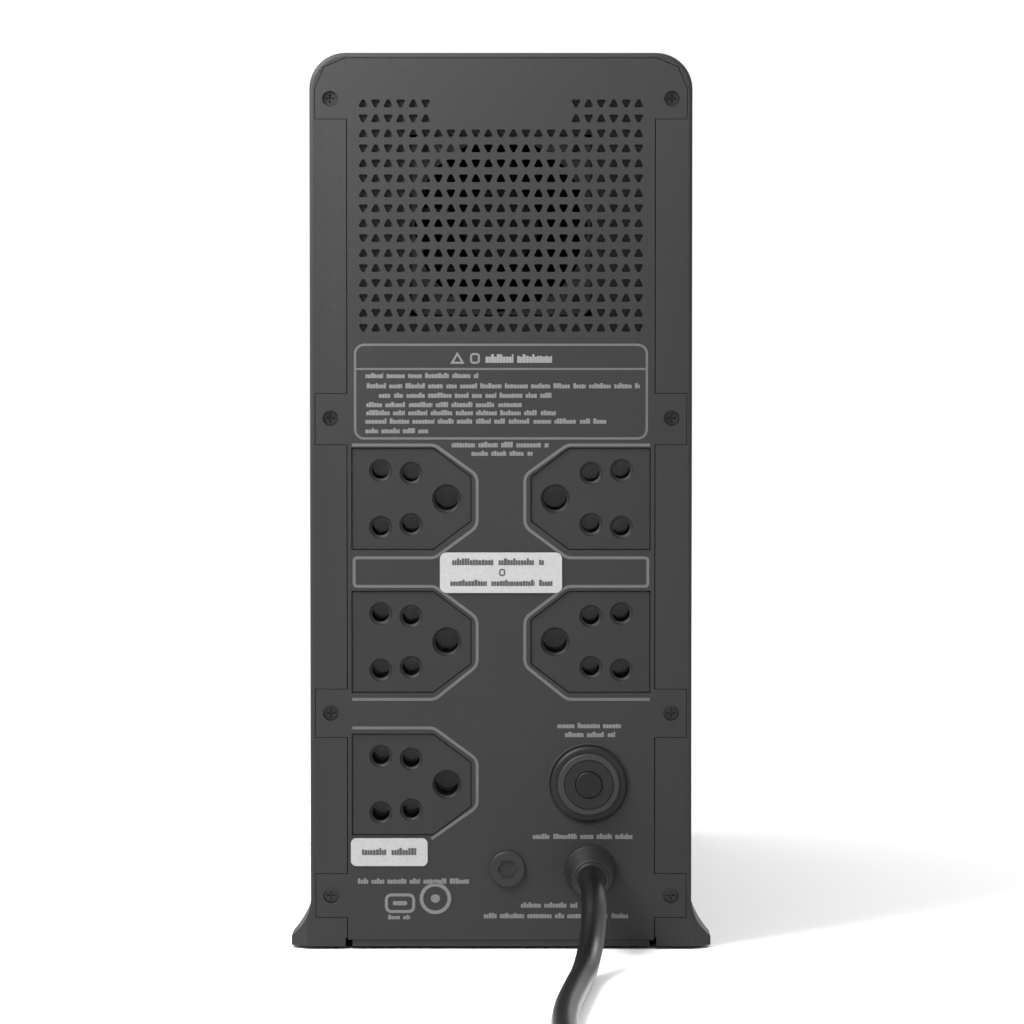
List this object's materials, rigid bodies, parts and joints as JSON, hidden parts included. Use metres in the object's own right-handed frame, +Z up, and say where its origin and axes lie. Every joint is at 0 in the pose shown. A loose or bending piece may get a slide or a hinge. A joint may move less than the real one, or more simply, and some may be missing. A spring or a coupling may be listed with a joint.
{
  "type": "uninterruptible power supply",
  "caption": "Tower uninterruptible power supply with a vented rear panel, universal round-pin outlets, a reset breaker, a mains cord, a front display and a battery pack behind a door.",
  "frame": {"origin": "on the floor under the middle of the cabinet, the free cord left out", "axes": "+Z up, +Y out of the rear panel, +X towards the side with the three-outlet column"},
  "size_m": [0.1794, 0.8373, 0.301],
  "materials": {
    "cabinet": "fine moulded texture",
    "rubber": "matte",
    "outlet_plastic": "satin",
    "contact_brass": "satin",
    "screw_steel": "black zinc",
    "label_white": "printed film",
    "breaker_plastic": "satin",
    "breaker_nut_plastic": "satin",
    "breaker_button_plastic": "gloss",
    "cord_rubber": "glossy",
    "tie_plastic": "satin",
    "pin_brass": "polished",
    "fan_plastic": "satin",
    "battery_case": "satin",
    "terminal_metal": "tinned",
    "strap_fabric": "woven",
    "tray_plastic": "satin",
    "core_steel": "varnished laminations",
    "winding_copper": "enamelled wire under tape",
    "zinc_steel": "zinc plated",
    "board_green": "solder mask",
    "spacer_nylon": "satin",
    "sink_aluminium": "extruded",
    "component_black": "satin",
    "capacitor_sleeve": "sleeve",
    "bezel_gloss": "gloss",
    "display_glass": "clear smoke",
    "lcd": "dark screen",
    "button_gloss": "satin"
  },
  "bodies": {
    "cabinet": {"left_shell": "cabinet", "right_shell": "cabinet", "base_plate": "cabinet", "rear_panel": "cabinet", "vent_grille": "cabinet", "rubber_feet": "rubber", "fan_pegs": "rubber", "outlet_1": "outlet_plastic", "outlet_2": "outlet_plastic", "outlet_3": "outlet_plastic", "outlet_4": "outlet_plastic", "outlet_5": "outlet_plastic", "blanking_plug": "outlet_plastic", "live_contacts": "contact_brass", "neutral_contacts": "contact_brass", "earth_contacts": "contact_brass", "rear_screws": "screw_steel", "label_plate_upper": "label_white", "label_plate_lower": "label_white", "breaker_body": "breaker_plastic", "breaker_collar": "breaker_plastic", "breaker_nut": "breaker_nut_plastic", "mains_cord": "cord_rubber", "cord_tail": "cord_rubber", "cord_coil": "cord_rubber", "strain_relief": "cord_rubber", "plug_body": "cord_rubber", "coil_tie": "tie_plastic", "plug_pins": "pin_brass", "fan_frame": "fan_plastic", "fan_shroud": "fan_plastic", "battery_tray": "tray_plastic", "transformer_core": "core_steel", "transformer_winding": "winding_copper", "transformer_bracket": "zinc_steel", "transformer_bolts": "zinc_steel", "main_board": "board_green", "control_board": "board_green", "board_spacers": "spacer_nylon", "heat_sinks": "sink_aluminium", "power_transistors": "component_black", "relays": "component_black", "tact_switches": "component_black", "capacitors": "capacitor_sleeve", "front_bezel": "bezel_gloss", "display_window": "display_glass", "lcd_module": "lcd"},
    "fan_rotor": {"fan_rotor": "fan_plastic"},
    "power_button": {"power_button": "button_gloss"},
    "mute_button": {"mute_button": "button_gloss"},
    "display_button": {"display_button": "button_gloss"},
    "breaker_button": {"breaker_button": "breaker_button_plastic"},
    "battery_door": {"battery_door": "bezel_gloss"},
    "battery_pack": {"battery_block_lower": "battery_case", "battery_block_upper": "battery_case", "battery_terminals": "terminal_metal", "battery_strap": "strap_fabric"}
  },
  "joints": [
    {"name": "fan_spin", "type": "hinge", "parent": "cabinet", "child": "fan_rotor", "pos_m": [0, 0.17, 0.2434], "axis": [0, 1, 0], "continuous": true},
    {"name": "power_button_press", "type": "slide", "parent": "cabinet", "child": "power_button", "axis": [0, 1, 0], "range_m": [0, 0.001], "stiffness_N_per_m": 300, "springref_m": -0.0006},
    {"name": "mute_button_press", "type": "slide", "parent": "cabinet", "child": "mute_button", "axis": [0, 1, 0], "range_m": [0, 0.001], "stiffness_N_per_m": 300, "springref_m": -0.0006},
    {"name": "display_button_press", "type": "slide", "parent": "cabinet", "child": "display_button", "axis": [0, 1, 0], "range_m": [0, 0.001], "stiffness_N_per_m": 300, "springref_m": -0.0006},
    {"name": "breaker_pop", "type": "slide", "parent": "cabinet", "child": "breaker_button", "axis": [0, 1, 0], "range_m": [0, 0.003]},
    {"name": "battery_pack_pull", "type": "slide", "parent": "cabinet", "child": "battery_pack", "axis": [0, -1, 0], "range_m": [0, 0.2]},
    {"name": "battery_door_pull", "type": "slide", "parent": "cabinet", "child": "battery_door", "axis": [0, -1, 0], "range_m": [0, 0.25]}
  ],
  "couplings": [
    {"joint": "battery_door_pull", "follows": "battery_pack_pull", "ratio": 1.25}
  ]
}
